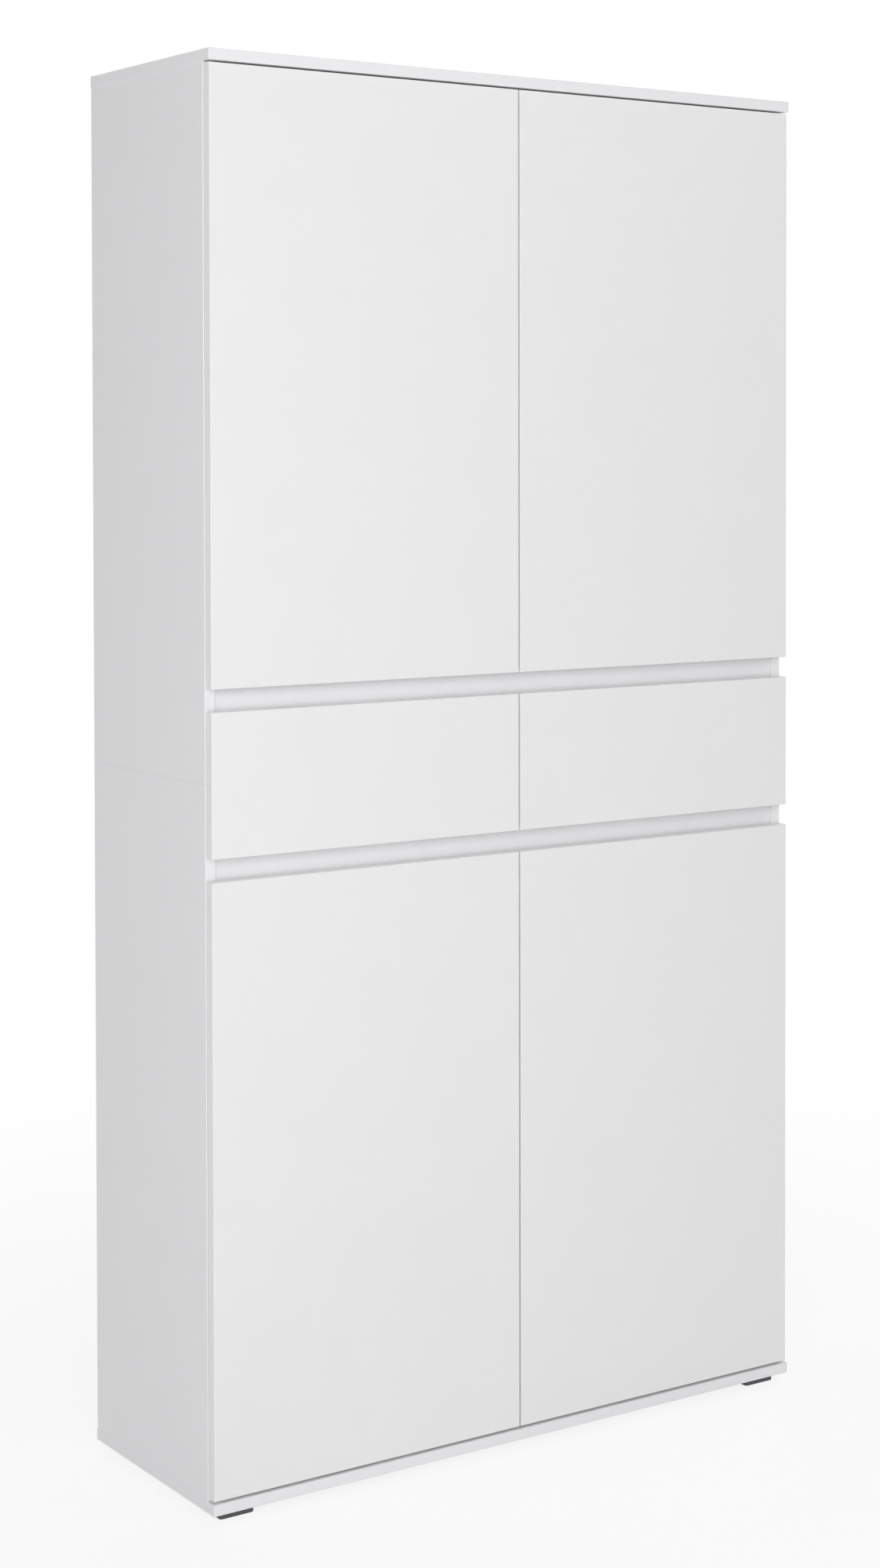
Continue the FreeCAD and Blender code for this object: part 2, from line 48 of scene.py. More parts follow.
# Places of the boards and fittings of the right-hand half, in millimetres. Rows are places
# along Y.
HALF_BOARD = 7.5
SIDE_INNER = 459.2
SIDE_NAILED = 462.95                # nails of the back, over the edge of a side
BAY_INNER = HALF_BOARD              # face of a partition
FRONT_BACK = -157.6                 # rear faces of the doors
BACK_FRONT = 171.0
BACK_REAR = 174.0
BACK_MIDDLE = (BACK_FRONT + BACK_REAR) / 2
SAWN_FROM = 174.95                  # the boards' rear edges, which are bare
BOTTOM_TOP = 27.0
TOP_UNDER = 1885.0
LOWER_SHELF_UNDER = 817.0           # the fixed shelves, under and over the drawers
UPPER_SHELF_UNDER = 1080.5
SEAM_Z = 957.0
STRIP_REACH = 10                    # no nail comes nearer to the seam, where the strip is
SEAM_PLATE_ROWS = (-107.1, 140.0)
SEAM_PLATE_MIDDLE = 955.8
SHELF_UNDERS = (414.5, 1351.167, 1614.333)
PIN_ROWS = (-106.1, 128.0)
BRACKET_X = 320
FOOT_PLACES = [(x, y) for x in (-434, 434) for y in (-135, 135)] + [(0, -90), (0, 90)]
FOOT_HEIGHT = 12
FOOT_NAIL_Z = 4.5

# Hinges. The pins' places are X and Y.
HINGE_HEIGHTS = {"lower": (130.0, 732.0), "upper": (1180.5, 1782.5)}
CUP_X = 451.45
CUP_PIN = (462.2, -162.1)
ARM_PIN = (442.2, -152.1)
ARM_SEAT = 456.7                    # face of the mounting plate
ARM_TOP = 438.7
ARM_REAR = -94.1
ARM_HEEL = -142.1
ARM_WIDTH = 17.4
ARM_INSIDE = 15.0
ARM_SHEET = 1.2
PLATE_MIDDLE = -119.1
PLATE_SHEET = 2.5

# Drawers. The rollers' places are Y and Z.
DRAWER_INNER = 20.0
DRAWER_OUTER = 446.7
DRAWER_SIDE = 12.0
DRAWER_BOTTOM_MIDDLE = 908.0
RUNNER_SHEET = 1.2
FRONT_ROLLER = (-136.1, 904.5)
REAR_ROLLER = (129.0, 902.6)
ROLLER_GAP = 1.0                    # from the sheet of the runner
ROLLER_WIDTH = 6.0
FIXED_SCREW_ROWS = (-112, 8, 134)
FIXED_SCREW_Z = 902.5
DRAWER_SCREW_ROWS = (-144, -16, 100)
DRAWER_SCREW_Z = 905
DRAWER_CAM_Y = -136
DRAWER_CAM_HEIGHTS = (928, 984)

# Cam locks stand 34 mm from the end of the board that they pull, as such fittings are drilled.
CAM_INSET = 34
CAM_ROWS = (-105, 125)
UPPER_PARTITION_CAM_Z = 1130.5

# Nails of the back: up the sides and the middle, and along the boards that lie flat.
NAIL_HEIGHTS = [55 + 127 * step for step in range(15)]
NAIL_COLUMNS = (-385, -231, -77, 77, 231, 385)
PANEL_NAIL_IN = 3.8                 # from the inner face of the bottom or top panel
FLAT_BOARD_NAILS = (BOTTOM_TOP - PANEL_NAIL_IN, LOWER_SHELF_UNDER + HALF_BOARD,
                    UPPER_SHELF_UNDER + HALF_BOARD, TOP_UNDER + PANEL_NAIL_IN)


# ---------------------------------------------------------------- shader helpers

def linear(hex_colour):
    """Turns an sRGB hex colour to the linear one that a shader takes."""
    channels = [int(hex_colour[place:place + 2], 16) / 255 for place in (1, 3, 5)]
    return [c / 12.92 if c <= 0.04045 else ((c + 0.055) / 1.055) ** 2.4 for c in channels] + [1.0]


def add(tree, kind, inputs=None, **settings):
    """Adds a node with its settings, and with each input set to a value or linked to an output."""
    node = tree.nodes.new(kind)
    for name, value in settings.items():
        setattr(node, name, value)
    for socket, value in (inputs or {}).items():
        if isinstance(value, bpy.types.NodeSocket):
            tree.links.new(value, node.inputs[socket])
        else:
            node.inputs[socket].default_value = value
    return node


def new_material(name):
    """An empty material. Gives it with its tree, its object coordinates and its output."""
    material = bpy.data.materials.new(name)
    material.use_nodes = True
    tree = material.node_tree
    tree.nodes.clear()
    place = add(tree, "ShaderNodeTexCoord").outputs["Object"]
    return material, tree, place, add(tree, "ShaderNodeOutputMaterial")


def per_metre(size_mm):
    """Scale of a pattern whose features have the given size in millimetres."""
    return 1000.0 / size_mm


def noise(tree, place, size_mm, detail, roughness=0.5):
    """A noise whose largest features have the given size."""
    return add(tree, "ShaderNodeTexNoise", {"Vector": place, "Scale": per_metre(size_mm),
                                            "Detail": detail,
                                            "Roughness": roughness}).outputs["Fac"]


def drawn_out(tree, place, scale):
    """Coordinates in which a pattern is longer along each axis whose scale is under 1."""
    return add(tree, "ShaderNodeMapping", {"Vector": place, "Scale": scale}).outputs["Vector"]


def spread(tree, value, low, high, start=0.3, end=0.7):
    """Brings a value's range from start to end, for a noise its middle, to low and high."""
    return add(tree, "ShaderNodeMapRange", {"Value": value, "From Min": start, "From Max": end,
                                            "To Min": low, "To Max": high}).outputs["Result"]


def reckon(tree, operation, first, second):
    """One step of arithmetic with two values or outputs."""
    return add(tree, "ShaderNodeMath", {0: first, 1: second}, operation=operation).outputs["Value"]


def mixed(tree, share, first, second):
    """A mix of two colours, each a hex colour or an output, by the share of the second."""
    colours = [linear(tint) if isinstance(tint, str) else tint for tint in (first, second)]
    return add(tree, "ShaderNodeMixRGB", {"Fac": share, "Color1": colours[0],
                                          "Color2": colours[1]}).outputs["Color"]


def lay(tree, output, height, depth, colour, gloss, **more):
    """Ends a material: the relief of a height pattern, with its depth in mm, then the shader."""
    bump = add(tree, "ShaderNodeBump", {"Height": height, "Strength": 1.0, "Distance": depth * MM})
    shader = add(tree, "ShaderNodeBsdfPrincipled", {"Normal": bump.outputs["Normal"],
                                                    "Base Color": colour, "Roughness": gloss,
                                                    **more})
    tree.links.new(shader.outputs["BSDF"], output.inputs["Surface"])


# ---------------------------------------------------------------- materials

def chipboard(tree, place):
    """Sawn particle board: pale flakes of 2 to 4 mm lying in darker glue and dust."""
    flat_lying = drawn_out(tree, place, (1.0, 1.0, 2.2))
    flakes = add(tree, "ShaderNodeTexVoronoi", {"Vector": flat_lying, "Scale": per_metre(3.5)})
    tone = mixed(tree, flakes.outputs["Color"], "#B08A58", "#DCC193")
    return mixed(tree, noise(tree, place, 1.5, 4.0), tone, "#8F6C42")


def melamine_board(name, face, shade, smooth, rough):
    """Particle board faced with melamine paper that was pressed against a pearl-textured plate.
    The fine pearl breaks the highlight up into a soft satin, and very faint clouds show how the
    paper lies on the chips below it. Behind, the sawn edges of the chips are bare. The real
    pearl is under 1 mm and is drawn at 2.4 mm so that it shows."""
    material, tree, place, output = new_material(name)
    pearl = noise(tree, place, 2.4, 3.0, 0.6)
    cloud = noise(tree, place, 90, 3.0)
    paper = mixed(tree, spread(tree, cloud, 0.0, 1.0), face, shade)
    depth = add(tree, "ShaderNodeSeparateXYZ", {"Vector": place}).outputs["Y"]
    sawn = reckon(tree, "GREATER_THAN", depth, SAWN_FROM * MM)
    lay(tree, output, pearl, 0.012, mixed(tree, sawn, paper, chipboard(tree, place)),
        spread(tree, pearl, smooth, rough), IOR=1.5)
    return material


def hardboard(name, axis, split, towards):
    """Wet-process hardboard: smooth white lacquer on the face that is seen, and behind it brown
    fibre with the print of the wire screen that the pulp was drained on. The screen's mesh of
    about 1.3 mm is drawn at 3 mm so that it shows."""
    material, tree, place, output = new_material(name)
    axes = add(tree, "ShaderNodeSeparateXYZ", {"Vector": place})
    side = "GREATER_THAN" if towards > 0 else "LESS_THAN"
    brown = reckon(tree, side, axes.outputs[axis], split * MM)
    fibre = mixed(tree, noise(tree, place, 14, 6.0, 0.7), "#7A5A3A", "#A98459")
    lacquer = mixed(tree, noise(tree, place, 30, 2.0), "#EFEFEE", "#E9E9E7")
    mesh = per_metre(3) * math.tau / 20         # 20 is the wave texture's own rate
    warp, weft = [add(tree, "ShaderNodeTexWave", {"Vector": place, "Scale": mesh,
                                                  "Distortion": 0.3},
                      bands_direction=way).outputs["Fac"] for way in ("X", "Z")]
    printed = reckon(tree, "MULTIPLY", reckon(tree, "MULTIPLY", warp, weft), brown)
    lay(tree, output, printed, 0.3, mixed(tree, brown, lacquer, fibre),
        spread(tree, brown, 0.42, 0.85, 0.0, 1.0), IOR=1.5)
    return material


def foiled_board(name):
    """Drawer sides of particle board wrapped in a white embossed foil. The foil's shallow
    streaks run along the board and pull its sheen out lengthwise."""
    material, tree, place, output = new_material(name)
    streak = noise(tree, drawn_out(tree, place, (1.0, 0.06, 1.0)), 3.0, 4.0)
    lay(tree, output, streak, 0.05, mixed(tree, streak, "#EDEDEB", "#E4E4E1"),
        spread(tree, streak, 0.36, 0.52), IOR=1.5)
    return material


def moulded_plastic(name, light, dark, grain, relief, smooth, rough):
    """Injection-moulded plastic from a spark-eroded mould: an even colour with a fine matt
    grain that dulls the highlight, a little uneven where the melt flowed."""
    material, tree, place, output = new_material(name)
    pits = noise(tree, place, grain, 2.0)
    lay(tree, output, pits, relief, mixed(tree, noise(tree, place, 18, 3.0), light, dark),
        spread(tree, pits, smooth, rough), IOR=1.49)
    return material


def powder_coat(name):
    """White epoxy powder baked on steel sheet: a smooth skin with a shallow orange peel that
    wobbles the reflections, and a slightly greyer tone where the powder is thin."""
    material, tree, place, output = new_material(name)
    thin = noise(tree, place, 40, 3.0)
    lay(tree, output, noise(tree, place, 2.2, 1.0), 0.05, mixed(tree, thin, "#ECECE9", "#DFDFDC"),
        spread(tree, thin, 0.26, 0.36), IOR=1.52)
    return material


def nickel_plate(name):
    """Bright nickel on stamped steel: a warm grey mirror, dulled by the fine lines that the
    rolled strip had before plating, which run across the width of each stamping."""
    material, tree, place, output = new_material(name)
    lines = noise(tree, drawn_out(tree, place, (1.0, 1.0, 0.05)), 0.8, 4.0)
    film = noise(tree, place, 9, 3.0)
    lay(tree, output, lines, 0.01, mixed(tree, film, "#CFCCC6", "#B9B6B0"),
        spread(tree, lines, 0.18, 0.34), Metallic=1.0)
    return material


def zinc_plate(name):
    """Zinc plating on steel and zinc die casting: a cool grey metal with small cloudy
    crystals, duller in some than in others."""
    material, tree, place, output = new_material(name)
    crystals = add(tree, "ShaderNodeTexVoronoi", {"Vector": place, "Scale": per_metre(2.5)})
    grey = add(tree, "ShaderNodeRGBToBW", {"Color": crystals.outputs["Color"]}).outputs["Val"]
    lay(tree, output, noise(tree, place, 1.2, 3.0), 0.02, mixed(tree, grey, "#C2C5C7", "#A9ADB0"),
        spread(tree, grey, 0.32, 0.5, 0.0, 1.0), Metallic=1.0)
    return material


carcass_board = melamine_board("pearl melamine carcass board", "#F1F1F3", "#F0F0F2", 0.40, 0.52)
front_board = melamine_board("pearl melamine front board", "#F1F1F1", "#F0F0F0", 0.36, 0.48)
back_hardboard = hardboard("lacquered hardboard back", "Y", BACK_MIDDLE, 1)
bottom_hardboard = hardboard("lacquered hardboard bottom", "Z", DRAWER_BOTTOM_MIDDLE, -1)
drawer_foil = foiled_board("foil-wrapped drawer board")
strip_plastic = moulded_plastic("extruded white strip", "#EBEBE8", "#E4E4E0", 1.6, 0.01, 0.34,
                                0.46)
foot_plastic = moulded_plastic("moulded grey foot", "#5C5C5F", "#515154", 1.4, 0.06, 0.5, 0.66)
roller_nylon = moulded_plastic("moulded white nylon", "#E9E7E0", "#DDDAD1", 1.2, 0.02, 0.3, 0.42)
runner_coat = powder_coat("white epoxy powder coat")
nickel = nickel_plate("nickel-plated steel")
zinc = zinc_plate("zinc-plated steel")

FINISHES = {
    "_door": front_board,
    "_drawer_front": front_board,
    "_back_panel": back_hardboard,
    "_drawer_bottom": bottom_hardboard,
    "_drawer_sides": drawer_foil,
    "_drawer_back": drawer_foil,
    "_joint_strip": strip_plastic,
    "feet": foot_plastic,
    "_rollers": roller_nylon,
    "_runners": runner_coat,
    "_hinge_cups": nickel,
    "_hinge_links": nickel,
    "hinge_arms": nickel,
    "hinge_plates": nickel,
    "shelf_pins": zinc,
    "seam_plates": zinc,
    "wall_brackets": zinc,
}


def dress(node):
    """Gives a CAD node the finish of its kind. What isn't listed is a board of the carcass."""
    kinds = [kind for kind in FINISHES if node.name.endswith(kind)]
    node.data.materials.clear()
    node.data.materials.append(FINISHES[kinds[0]] if kinds else carcass_board)


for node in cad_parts.values():
    dress(node)


# ---------------------------------------------------------------- modelling helpers

SAME_PLACE = 0.001                  # corners this near are one, in millimetres
ROUND_STEPS = 5                     # facets of a rounded corner or a bend
SMOOTH_UNDER = math.radians(35)     # facets that meet at less are shaded as one round


def pick(piece, wanted):
    """Goes into edit mode and selects the edges whose middle and direction are wanted."""
    bpy.ops.object.mode_set(mode="EDIT")
    bpy.ops.mesh.select_mode(type="EDGE")
    bpy.ops.mesh.select_all(action="DESELECT")
    shape = bmesh.from_edit_mesh(piece.data)
    for edge in shape.edges:
        start, end = [corner.co for corner in edge.verts]
        edge.select_set(wanted((start + end) / 2, (end - start).normalized()))
    bmesh.update_edit_mesh(piece.data)


def close_up(piece):
    """Merges doubles, turns the faces outward and leaves edit mode."""
    bpy.ops.mesh.select_all(action="SELECT")
    bpy.ops.mesh.remove_doubles(threshold=SAME_PLACE)
    bpy.ops.mesh.normals_make_consistent(inside=False)
    bpy.ops.object.mode_set(mode="OBJECT")
    return piece


def turned(rings, sides):
    """A round piece about Z, drawn up ring by ring from (radius, height) pairs. Where the last
    ring is the first one again, it is a tube or a wheel with a bore."""
    ringed = rings[0] == rings[-1]
    bpy.ops.object.select_all(action="DESELECT")
    bpy.ops.mesh.primitive_circle_add(vertices=sides, radius=rings[0][0],
                                      fill_type="NOTHING" if ringed else "NGON",
                                      location=(0, 0, rings[0][1]))
    bpy.ops.object.transform_apply(location=True, rotation=False, scale=False)
    piece = bpy.context.object
    bpy.ops.object.mode_set(mode="EDIT")
    bpy.ops.mesh.select_all(action="SELECT")
    for (before, low), (after, high) in zip(rings, rings[1:]):
        if ringed:
            bpy.ops.mesh.extrude_edges_move(TRANSFORM_OT_translate={"value": (0, 0, high - low)})
        else:
            bpy.ops.mesh.extrude_region_move(TRANSFORM_OT_translate={"value": (0, 0, high - low)})
        share = after / before
        bpy.ops.transform.resize(value=(share, share, 1), center_override=(0, 0, high))
    return close_up(piece)


def blank(outline, thickness):
    """A flat blank cut to an outline of (x, y) places, with its middle at z 0."""
    bpy.ops.object.select_all(action="DESELECT")
    bpy.ops.mesh.primitive_circle_add(vertices=len(outline), radius=1, fill_type="NGON")
    piece = bpy.context.object
    for corner, (x, y) in zip(piece.data.vertices, outline):
        corner.co = (x, y, -thickness / 2)
    bpy.ops.object.mode_set(mode="EDIT")
    bpy.ops.mesh.select_all(action="SELECT")
    bpy.ops.mesh.extrude_region_move(TRANSFORM_OT_translate={"value": (0, 0, thickness)})
    return close_up(piece)


def oblong(x, y):
    """Outline of an oblong between two x and two y places."""
    return [(x[0], y[0]), (x[1], y[0]), (x[1], y[1]), (x[0], y[1])]


def corners_rounded(piece, radius, wanted=lambda middle: True):
    """Rounds the wanted upright corners of a blank."""
    pick(piece, lambda middle, way: abs(way.z) > 0.99 and wanted(middle))
    bpy.ops.mesh.bevel(offset=radius, segments=ROUND_STEPS)
    bpy.ops.object.mode_set(mode="OBJECT")
    return piece


def finished(piece, modifier, **settings):
    """Adds one modifier and applies it."""
    bpy.ops.object.select_all(action="DESELECT")
    piece.select_set(True)
    bpy.context.view_layer.objects.active = piece
    added = piece.modifiers.new(modifier.lower(), modifier)
    for name, value in settings.items():
        setattr(added, name, value)
    bpy.ops.object.modifier_apply(modifier=added.name)
    return piece


def eased(piece, radius, segments=2):
    """Takes the sharpness off all edges, and shades what is left of the round ones smooth."""
    finished(piece, "BEVEL", width=radius, segments=segments, limit_method="ANGLE",
             angle_limit=math.radians(40))
    bpy.ops.object.shade_smooth_by_angle(angle=SMOOTH_UNDER)
    return piece


def cut(piece, *cutters):
    """Cuts the cutters out of a piece and throws them away."""
    for cutter in cutters:
        finished(piece, "BOOLEAN", operation="DIFFERENCE", object=cutter, solver="EXACT")
        bpy.data.objects.remove(cutter)
    return piece


def joined(pieces):
    bpy.ops.object.select_all(action="DESELECT")
    for piece in pieces:
        piece.select_set(True)
    bpy.context.view_layer.objects.active = pieces[0]
    bpy.ops.object.join()
    return bpy.context.object


def assembled(parts):
    """Joins the parts of a model and shades its rounds smooth."""
    model = joined(parts)
    bpy.ops.object.shade_smooth_by_angle(angle=SMOOTH_UNDER)
    return model


def moved(piece, place):
    """Moves a piece's mesh, and turns it right side out where the move mirrors it."""
    piece.data.transform(place)
    if place.determinant() < 0:
        piece.data.flip_normals()
    return piece


def copied(model, place):
    """A copy of a model with a mesh of its own, moved to a place."""
    copy = model.copy()
    copy.data = model.data.copy()
    bpy.context.collection.objects.link(copy)
    return moved(copy, place)


def at(x, y, z, turn=(0, 0, 0)):
    """A place in millimetres, with the turn about X, Y and Z in degrees that is made before."""
    turned_by = Euler([math.radians(angle) for angle in turn]).to_matrix().to_4x4()
    return Matrix.Translation((x, y, z)) @ turned_by


def sideways(x, y, z):
    """A place in millimetres where a model's x, y and z point along Y, Z and X."""
    return Matrix(((0, 0, 1, x), (1, 0, 0, y), (0, 1, 0, z), (0, 0, 0, 1)))


FACING = {"-X": (0, -90, 0), "+X": (0, 90, 0), "+Y": (-90, 0, 0), "-Z": (180, 0, 0)}
MIRROR = {1: Matrix.Identity(4), -1: Matrix.Scale(-1, 4, (1, 0, 0))}


def set_out(name, model, places, body, finish, stands_for=()):
    """Copies a model to each place, brings it to metres and lets it ride on a body."""
    piece = joined([copied(model, Matrix.Scale(MM, 4) @ place) for place in places])
    piece.name = name
    piece.data.materials.clear()
    piece.data.materials.append(finish)
    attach(piece, body)
    if stands_for:
        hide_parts(*stands_for)
    return piece


# ---------------------------------------------------------------- screws, cams and nails

def cross(span, width, floor):
    """Two crossed cutters for the recess that takes a screwdriver."""
    height = 4
    bars = [blank(oblong((-a / 2, a / 2), (-b / 2, b / 2)), height)
            for a, b in ((span, width), (width, span))]
    return [moved(bar, at(0, 0, floor + height / 2)) for bar in bars]


def pan_screw():
    """Domed screw head with a cross recess. It stands on z 0."""
    head = turned([(3.3, -0.3), (3.5, 0.0), (3.5, 0.5), (3.25, 1.1), (2.6, 1.6), (1.4, 1.9)], 24)
    return eased(cut(head, *cross(3.8, 1.0, 0.9)), 0.08, 1)


def flat_screw():
    """Countersunk screw head with a raised top. Its rim stands a hair over z 0."""
    head = turned([(2.2, -1.4), (3.5, -0.15), (3.6, 0.1), (3.4, 0.45), (2.7, 0.8), (1.4, 1.0)], 24)
    return eased(cut(head, *cross(3.8, 1.0, 0.15)), 0.08, 1)


def cam_disc():
    """Face of a cam lock in its bore: a die-cast disc with a rim and a cross for a screwdriver."""
    disc = turned([(7.3, -1.5), (7.5, -0.2), (7.5, 0.6), (7.2, 0.85), (6.5, 0.85), (6.3, 0.5),
                   (3.6, 0.5), (3.4, 0.8), (2.0, 0.8)], 32)
    return eased(cut(disc, *cross(5.6, 1.3, 0.15)), 0.08, 1)


def panel_nail():
    head = turned([(1.2, -0.6), (1.9, 0.0), (1.9, 0.2), (1.4, 0.45), (0.6, 0.55)], 10)
    return eased(head, 0.05, 1)


pan = pan_screw()
flat = flat_screw()
cam = cam_disc()
nail = panel_nail()


def both_sides(places):
    return [MIRROR[side] @ place for side in SIDES.values() for place in places]


# ---------------------------------------------------------------- hinges

def cup_model():
    """Pressed steel cup about (CUP_X, FRONT_BACK): rolled rim, stamped floor, rounded ears,
    the pin that the link turns on and the two screws that hold it."""
    shell = turned([(15.9, -12.5), (17.0, -12.1), (17.5, -11.4), (17.5, 0.0), (18.3, 0.0),
                    (18.5, 0.25), (18.5, 0.75), (18.2, 1.0), (17.2, 1.0), (16.7, 0.8),
                    (16.5, 0.3), (16.5, -10.3), (16.1, -11.1), (15.2, -11.5), (9.6, -11.5),
                    (9.0, -11.9), (8.2, -12.0)], 64)
    parts = [shell]
    for end in (-1, 1):
        ear = blank(oblong((-7, 7), sorted((end * 17.2, end * 26))), 1)
        ear = corners_rounded(ear, 5.5, lambda middle: abs(middle.y) > 20)
        parts.append(moved(eased(ear, 0.25), at(0, 0, 0.5)))
        parts.append(copied(flat, at(0, end * 21.6, 1)))
    pin = turned([(1.3, -12.4), (1.6, -12.1), (1.6, 12.1), (1.3, 12.4)], 20)
    parts.append(moved(pin, at(CUP_PIN[0] - CUP_X, 0, CUP_PIN[1] - FRONT_BACK, (90, 0, 0))))
    return moved(assembled(parts), at(CUP_X, FRONT_BACK, 0, FACING["+Y"]))


def bent_strip(places, width, thickness, bend):
    """A strip of sheet bent along (x, y) places, with its width centred along Z."""
    bpy.ops.object.select_all(action="DESELECT")
    bpy.ops.mesh.primitive_plane_add(size=width, rotation=(math.radians(90), 0, 0))
    bpy.ops.object.transform_apply(location=False, rotation=True, scale=False)
    strip = bpy.context.object
    pick(strip, lambda middle, way: middle.x < -width / 4)
    bpy.ops.mesh.delete(type="VERT")
    bpy.ops.mesh.select_all(action="SELECT")
    bpy.ops.transform.translate(value=(places[0][0] - width / 2, places[0][1], 0))
    for (x0, y0), (x1, y1) in zip(places, places[1:]):
        bpy.ops.mesh.extrude_edges_move(TRANSFORM_OT_translate={"value": (x1 - x0, y1 - y0, 0)})
    bends = [Vector((x, y, 0)) for x, y in places[1:-1]]
    pick(strip, lambda middle, way: any((middle - spot).length < 0.01 for spot in bends))
    bpy.ops.mesh.bevel(offset=bend, segments=ROUND_STEPS)
    close_up(strip)
    return finished(strip, "SOLIDIFY", thickness=thickness, offset=0, use_even_offset=True)


def link_model():
    """The hooked link: strip from the arm's pin down into the cup and round to the cup's pin,
    with an eye rolled round each pin."""
    floor_y = FRONT_BACK - 10.2
    bends = [(CUP_PIN[0] - 1.5, floor_y), (CUP_PIN[0] - 12, floor_y)]
    # The strip starts and ends inside the walls of the two eyes.
    start = Vector(CUP_PIN).lerp(Vector(bends[0]), 0.36)
    end = Vector(ARM_PIN).lerp(Vector(bends[1]), 0.13)
    places = [tuple(start)] + bends + [tuple(end)]
    parts = [eased(bent_strip(places, width=14, thickness=1.6, bend=2.2), 0.25)]
    for x, y in (CUP_PIN, ARM_PIN):
        eye = turned([(1.7, -6.8), (1.9, -7.0), (2.8, -7.0), (3.0, -6.8), (3.0, 6.8), (2.8, 7.0),
                      (1.9, 7.0), (1.7, 6.8), (1.7, -6.8)], 32)
        parts.append(moved(eye, at(x, y, 0)))
    return assembled(parts)


def arm_model():
    """Channel-shaped arm with its round nose, the riveted pin, and its two adjusting screws."""
    nose = 3.5
    steps = range(-90, 91, 15)
    arc = [(ARM_PIN[0] - nose * math.sin(math.radians(step)),
            ARM_PIN[1] - nose * math.cos(math.radians(step))) for step in steps]
    body = blank([(ARM_SEAT, ARM_REAR), (ARM_SEAT, ARM_HEEL)] + arc + [(ARM_TOP, ARM_REAR)],
                 ARM_WIDTH)
    open_front = ARM_PIN[1] - 5
    inside = blank(oblong((ARM_TOP + ARM_SHEET, ARM_SEAT + 1), (open_front, ARM_REAR + 1)),
                   ARM_INSIDE)
    mouth = blank(oblong((ARM_TOP - 1, ARM_SEAT), (open_front, ARM_PIN[1] + nose)), ARM_INSIDE)
    slot = corners_rounded(blank(oblong((-8, 8), (-2.6, 2.6)), 4), 2.5)
    moved(slot, sideways(ARM_TOP, PLATE_MIDDLE + 2, 0))
    channel = eased(cut(body, inside, mouth, slot), 0.35)
    pin = turned([(1.9, -9.3), (2.4, -9.0), (2.4, -8.6), (1.6, -8.5), (1.6, 8.5), (2.4, 8.6),
                  (2.4, 9.0), (1.9, 9.3)], 20)
    parts = [channel, moved(pin, at(*ARM_PIN, 0))]
    for y in (PLATE_MIDDLE - 10.5, PLATE_MIDDLE + 15.5):
        parts.append(copied(pan, at(ARM_TOP, y, 0, FACING["-X"])))
    return assembled(parts)


def plate_model():
    """Cross-shaped mounting plate with rounded wings, and the two screws that hold it."""
    outline = [(-25, -9.5), (-6, -9.5), (-6, -24), (6, -24), (6, -9.5), (25, -9.5),
               (25, 9.5), (6, 9.5), (6, 24), (-6, 24), (-6, 9.5), (-25, 9.5)]
    plate = corners_rounded(blank(outline, PLATE_SHEET), 4.5, lambda middle: abs(middle.y) > 20)
    plate = corners_rounded(plate, 1.5, lambda middle: abs(middle.x) > 20)
    parts = [moved(eased(plate, 0.4), at(0, 0, PLATE_SHEET / 2))]
    for end in (-1, 1):
        parts.append(copied(pan, at(0, end * 18.2, PLATE_SHEET)))
    plate = joined(parts)
    turn = Matrix(((0, 0, -1, SIDE_INNER), (1, 0, 0, PLATE_MIDDLE), (0, -1, 0, 0), (0, 0, 0, 1)))
    return moved(plate, turn)


def hinges():
    cup, link, arm, plate = cup_model(), link_model(), arm_model(), plate_model()
    fixed = []
    for side_name, side in SIDES.items():
        for level in LEVELS:
            door = side_name + "_" + level + "_door"
            places = [MIRROR[side] @ at(0, 0, z) for z in HINGE_HEIGHTS[level]]
            set_out(door + "_pressed_cups", cup, places, door, nickel,
                    (door + "_hinge_cups",))
            set_out(door + "_hooked_links", link, places, door + "_hinge_links", nickel,
                    (door + "_hinge_links",))
            fixed += places
    set_out("channel_arms", arm, fixed, "carcass", nickel, ("hinge_arms",))
    set_out("cross_plates", plate, fixed, "carcass", nickel, ("hinge_plates",))
    return [cup, link, arm, plate]


# ---------------------------------------------------------------- runners and rollers

def roller_model():
    """Nylon roller along Z from 0 to its width of 6: crowned tread, rim, thin web and a hub with
    its bore."""
    return eased(turned([(2.6, 0.0), (4.6, 0.0), (4.9, 0.3), (5.0, 1.2), (7.2, 1.2), (7.4, 0.1),
                         (8.4, 0.0), (8.9, 0.5), (9.0, 1.5), (9.0, 4.5), (8.9, 5.5), (8.4, 6.0),
                         (7.4, 5.9), (7.2, 4.8), (5.0, 4.8), (4.9, 5.7), (4.6, 6.0), (2.6, 6.0),
                         (2.6, 0.0)], 48), 0.15, 1)


def rivet_model():
    return eased(turned([(2.5, -0.2), (3.6, 0.0), (3.6, 0.3), (3.1, 0.8), (1.8, 1.1)], 24), 0.1, 1)


